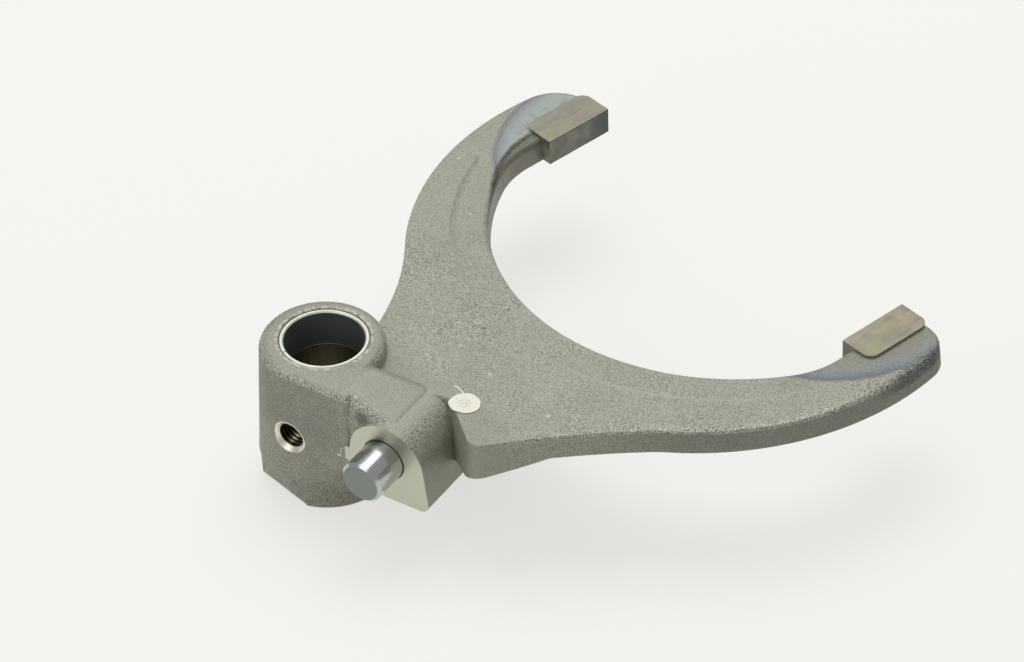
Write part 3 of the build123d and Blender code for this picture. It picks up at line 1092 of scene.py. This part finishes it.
@dataclass
class PaintDab:
    """Round dab of marking paint with a thin curved tail, on the web beside the boss."""

    centre: tuple[float, float] = (47.45, 15.25)
    radius: float = 4.7
    level: float = 3.0
    thick: float = 0.3
    tail: tuple[tuple[float, float, float], ...] = (
        (45.4, 17.1, 0.8), (44.4, 17.7, 0.66), (43.4, 18.1, 0.58), (41.8, 18.45, 0.56),
        (40.3, 18.65, 0.56), (39.5, 18.45, 0.56), (39.15, 17.8, 0.6),
    )

    def outline(self, angle: float) -> float:
        """Radius of the dab's uneven edge at an angle."""
        wave = 0.04 * math.sin(2 * angle + 0.6) + 0.025 * math.sin(3 * angle + 2.0)
        return self.radius * (1 + wave + 0.015 * math.sin(7 * angle))

    def build_disc(self, mesh: bmesh.types.BMesh) -> None:
        """Add the domed disc.

        Args:
            mesh: Where it goes.
        """
        made = bmesh.ops.create_circle(mesh, cap_ends=True, segments=72, radius=1.0)
        for vertex in made["verts"]:
            angle = math.atan2(vertex.co.y, vertex.co.x)
            vertex.co *= self.outline(angle)
        rim = list(mesh.faces)
        for width, lift in ((0.35, 0.75), (0.7, 0.2), (1.2, 0.0), (1.1, -0.12)):
            bmesh.ops.inset_region(mesh, faces=rim, thickness=width, use_even_offset=True)
            bmesh.ops.translate(mesh, verts=rim[0].verts[:], vec=(0.0, 0.0, lift * self.thick))
        bmesh.ops.translate(mesh, verts=mesh.verts[:], vec=(self.centre[0], self.centre[1], self.level))

    def build_tail(self, mesh: bmesh.types.BMesh) -> None:
        """Add the tail as a row of small sections joined end to end.

        Args:
            mesh: Where it goes.
        """
        before: list[bmesh.types.BMEdge] = []
        places = [Vector((x, y, self.level)) for x, y, _ in self.tail]
        for i, (_, _, width) in enumerate(self.tail):
            ahead = places[min(i + 1, len(places) - 1)] - places[max(i - 1, 0)]
            heading = Matrix.Rotation(math.atan2(ahead.y, ahead.x), 4, "Z")
            turn = heading @ Matrix.Rotation(math.pi / 2, 4, "Y")
            size = Matrix.Diagonal((self.thick * 0.9, width / 2, 1.0, 1.0))
            place = Matrix.Translation(places[i]) @ turn @ size
            ring = bmesh.ops.create_circle(mesh, segments=10, radius=1.0, matrix=place)
            edges = list({e for v in ring["verts"] for e in v.link_edges})
            if before:
                bmesh.ops.bridge_loops(mesh, edges=before + edges)
            before = edges
            if i in (0, len(self.tail) - 1):
                bmesh.ops.contextual_create(mesh, geom=edges)

    def build(self, effects: Effects) -> bpy.types.Object:
        """Build the dab.

        Args:
            effects: The shared node groups.

        Returns:
            The dab's object.
        """
        mesh = bmesh.new()
        self.build_disc(mesh)
        self.build_tail(mesh)
        bmesh.ops.scale(mesh, verts=mesh.verts[:], vec=(MM, MM, MM))
        bmesh.ops.recalc_face_normals(mesh, faces=mesh.faces[:])
        data = bpy.data.meshes.new("paint_dab")
        mesh.to_mesh(data)
        mesh.free()
        data.shade_smooth()
        piece = bpy.data.objects.new("paint_dab", data)
        bpy.context.scene.collection.objects.link(piece)
        data.materials.append(PaintFinish(self.centre).build(effects))
        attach(piece, "root")
        LOG.info("built paint_dab")
        return piece


@dataclass(frozen=True)
class Studio:
    """Pale floor, soft lamps and the camera at the photograph's angle."""

    backdrop: Colour = paint(246, 244, 240)
    lens: float = 175.78125
    place: tuple[float, float, float] = (926.4459, -702.8683, 986.2759)
    right: tuple[float, float, float] = (0.6594485, 0.7512849, -0.0264324)
    upward: tuple[float, float, float] = (-0.4708218, 0.4401690, 0.7645770)
    back: tuple[float, float, float] = (0.5860499, -0.4917543, 0.6439901)

    def build_camera(self) -> None:
        """Make the camera."""
        data = bpy.data.cameras.new("camera")
        data.sensor_width = 36.0
        data.lens = self.lens
        data.clip_start = 0.01
        data.clip_end = 20.0
        camera = bpy.data.objects.new("camera", data)
        bpy.context.scene.collection.objects.link(camera)
        turn = Matrix((self.right, self.upward, self.back)).transposed().to_4x4()
        camera.matrix_world = Matrix.Translation(Vector(self.place) * MM) @ turn
        bpy.context.scene.camera = camera

    def build_floor(self, level: float) -> None:
        """Make the floor, which keeps a soft shadow.

        Args:
            level: Height of the floor in metres.
        """
        mesh = bmesh.new()
        bmesh.ops.create_grid(mesh, x_segments=1, y_segments=1, size=6.0)
        bmesh.ops.translate(mesh, verts=mesh.verts[:], vec=(0.0, 0.0, level))
        data = bpy.data.meshes.new("floor")
        mesh.to_mesh(data)
        mesh.free()
        floor = bpy.data.objects.new("floor", data)
        bpy.context.scene.collection.objects.link(floor)
        material = bpy.data.materials.new("floor")
        material.use_nodes = True
        material.node_tree.nodes.clear()
        g = Graph(material.node_tree)
        matte = g.add("BsdfDiffuse", {"Color": (0.3, 0.3, 0.29, 1.0)})
        glow = g.add("Emission", {"Color": self.backdrop, "Strength": 0.70})
        light = g.add("LightPath")
        seen = g.either(light.outputs["Is Camera Ray"], light.outputs["Is Glossy Ray"],
                        light.outputs["Is Transmission Ray"])
        both = g.add("AddShader", {0: matte.outputs[0], 1: glow.outputs[0]})
        mixed = g.add("MixShader", {0: seen, 1: matte.outputs[0], 2: both.outputs[0]})
        output = g.add("OutputMaterial")
        g.put(output.inputs["Surface"], mixed.outputs[0])
        data.materials.append(material)
        floor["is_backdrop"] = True

    def build_world(self) -> None:
        """Light the scene evenly from all round."""
        world = bpy.data.worlds.new("studio")
        bpy.context.scene.world = world
        world.use_nodes = True
        world.node_tree.nodes.clear()
        g = Graph(world.node_tree)
        light = g.add("LightPath")
        seen = g.either(light.outputs["Is Camera Ray"], light.outputs["Is Transmission Ray"])
        shown = g.add("Background", {"Color": self.backdrop, "Strength": 1.0})
        lamp = g.add("Background", {"Color": (1.0, 1.0, 1.0, 1.0), "Strength": 0.42})
        mixed = g.add("MixShader", {0: seen, 1: lamp.outputs[0], 2: shown.outputs[0]})
        output = g.add("OutputWorld")
        g.put(output.inputs["Surface"], mixed.outputs[0])

    def build_lamp(self, name: str, place: tuple[float, float, float], size: float, power: float) -> None:
        """Hang one square soft lamp that looks at the part.

        Args:
            name: The lamp's name.
            place: Where it hangs, in metres.
            size: Its side, in metres.
            power: Its power in watts.
        """
        data = bpy.data.lights.new(name, "AREA")
        data.size = size
        data.energy = power
        lamp = bpy.data.objects.new(name, data)
        bpy.context.scene.collection.objects.link(lamp)
        lamp.location = place
        aim = Vector((0.04, 0.06, 0.0)) - Vector(place)
        lamp.rotation_euler = aim.to_track_quat("-Z", "Y").to_euler()

    def build(self, floor_level: float) -> None:
        """Set the whole studio up.

        Args:
            floor_level: Height of the floor in metres.
        """
        self.build_camera()
        self.build_floor(floor_level)
        self.build_world()
        self.build_lamp("top_lamp", (-0.25, 0.35, 1.1), 0.9, 7.5)
        self.build_lamp("front_lamp", (0.05, -1.0, 0.55), 0.7, 2.4)
        LOG.info("set up the studio")


def plain(corners: tuple[Vector, Vector]) -> list[list[float]]:
    """Corners as plain lists of numbers."""
    return [[float(c) for c in corner] for corner in corners]


def main() -> None:
    """Load the frame, dress it and set up the studio."""
    logging.basicConfig(level=logging.INFO, format="%(name)s: %(message)s")
    for leftover in list(bpy.data.objects):
        bpy.data.objects.remove(leftover)
    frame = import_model()
    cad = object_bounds()
    effects = Effects()
    ForkBody(frame["nodes"]).dress(effects)
    PaintDab().build(effects)
    Studio().build(cad[0].z - 0.0002)
    bpy.context.scene.view_settings.view_transform = "Standard"
    bpy.context.view_layer.update()


if __name__ == "__main__":
    main()
